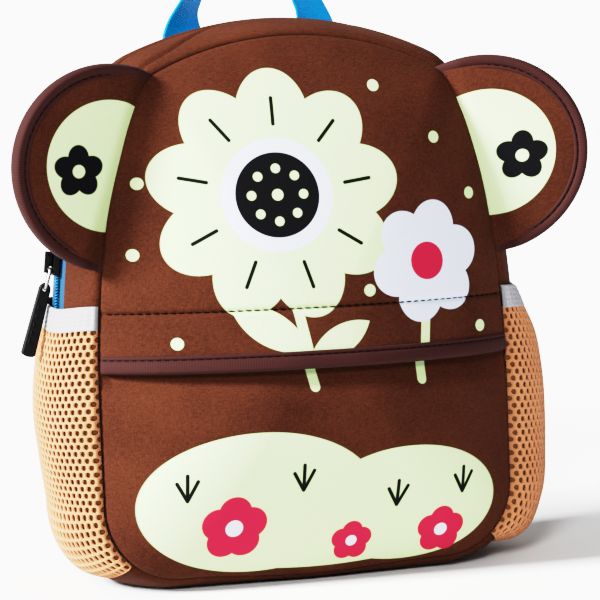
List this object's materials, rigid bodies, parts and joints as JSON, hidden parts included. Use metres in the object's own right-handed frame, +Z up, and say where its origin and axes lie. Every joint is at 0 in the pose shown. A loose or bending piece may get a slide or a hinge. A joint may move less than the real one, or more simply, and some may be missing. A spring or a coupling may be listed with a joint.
{
  "type": "kids backpack",
  "caption": "Small arched neoprene backpack with round ears, a flap over the front pocket, mesh side pockets, an arched zip, a webbing handle and shoulder straps.",
  "frame": {"origin": "middle of the base, on the surface the bag stands on", "axes": "+Z up, -Y towards the front of the bag, +X to the right seen from the front"},
  "size_m": [0.298, 0.1805, 0.3267],
  "materials": {
    "neoprene": "matte knit-faced neoprene",
    "binding": "ribbed tape",
    "mesh": "open spacer mesh",
    "elastic": "ribbed elastic",
    "webbing": "woven webbing",
    "zip_tape": "woven zip tape",
    "zip_coil": "nylon coil",
    "black_plastic": "moulded, fine grain",
    "black_rubber": "soft ribbed rubber",
    "steel": "plain wire"
  },
  "bodies": {
    "bag": {"upper_panel": "neoprene", "pocket_flap": "neoprene", "flap_binding": "binding", "pocket_panel": "neoprene", "back_panel": "neoprene", "gusset_front_strip": "neoprene", "gusset_rear_strip": "neoprene", "gusset_base": "neoprene", "zip_tape": "zip_tape", "zip_coil": "zip_coil", "zip_slider": "black_plastic", "side_pocket_left": "mesh", "side_pocket_right": "mesh", "pocket_elastic_left": "elastic", "pocket_elastic_right": "elastic", "ear_left": "neoprene", "ear_right": "neoprene", "ear_binding_left": "binding", "ear_binding_right": "binding", "grab_handle": "webbing", "shoulder_pad_left": "neoprene", "shoulder_pad_right": "neoprene", "strap_webbing_left": "webbing", "strap_webbing_right": "webbing", "strap_adjuster_left": "black_plastic", "strap_adjuster_right": "black_plastic"},
    "zip_pull": {"pull_ring": "steel", "pull_tab": "black_rubber"}
  },
  "joints": [
    {"name": "zip_pull_swing", "type": "hinge", "parent": "bag", "child": "zip_pull", "pos_m": [-0.12415, -0.01, 0.16545], "axis": [0, 1, 0], "range_deg": [0, 128]}
  ]
}
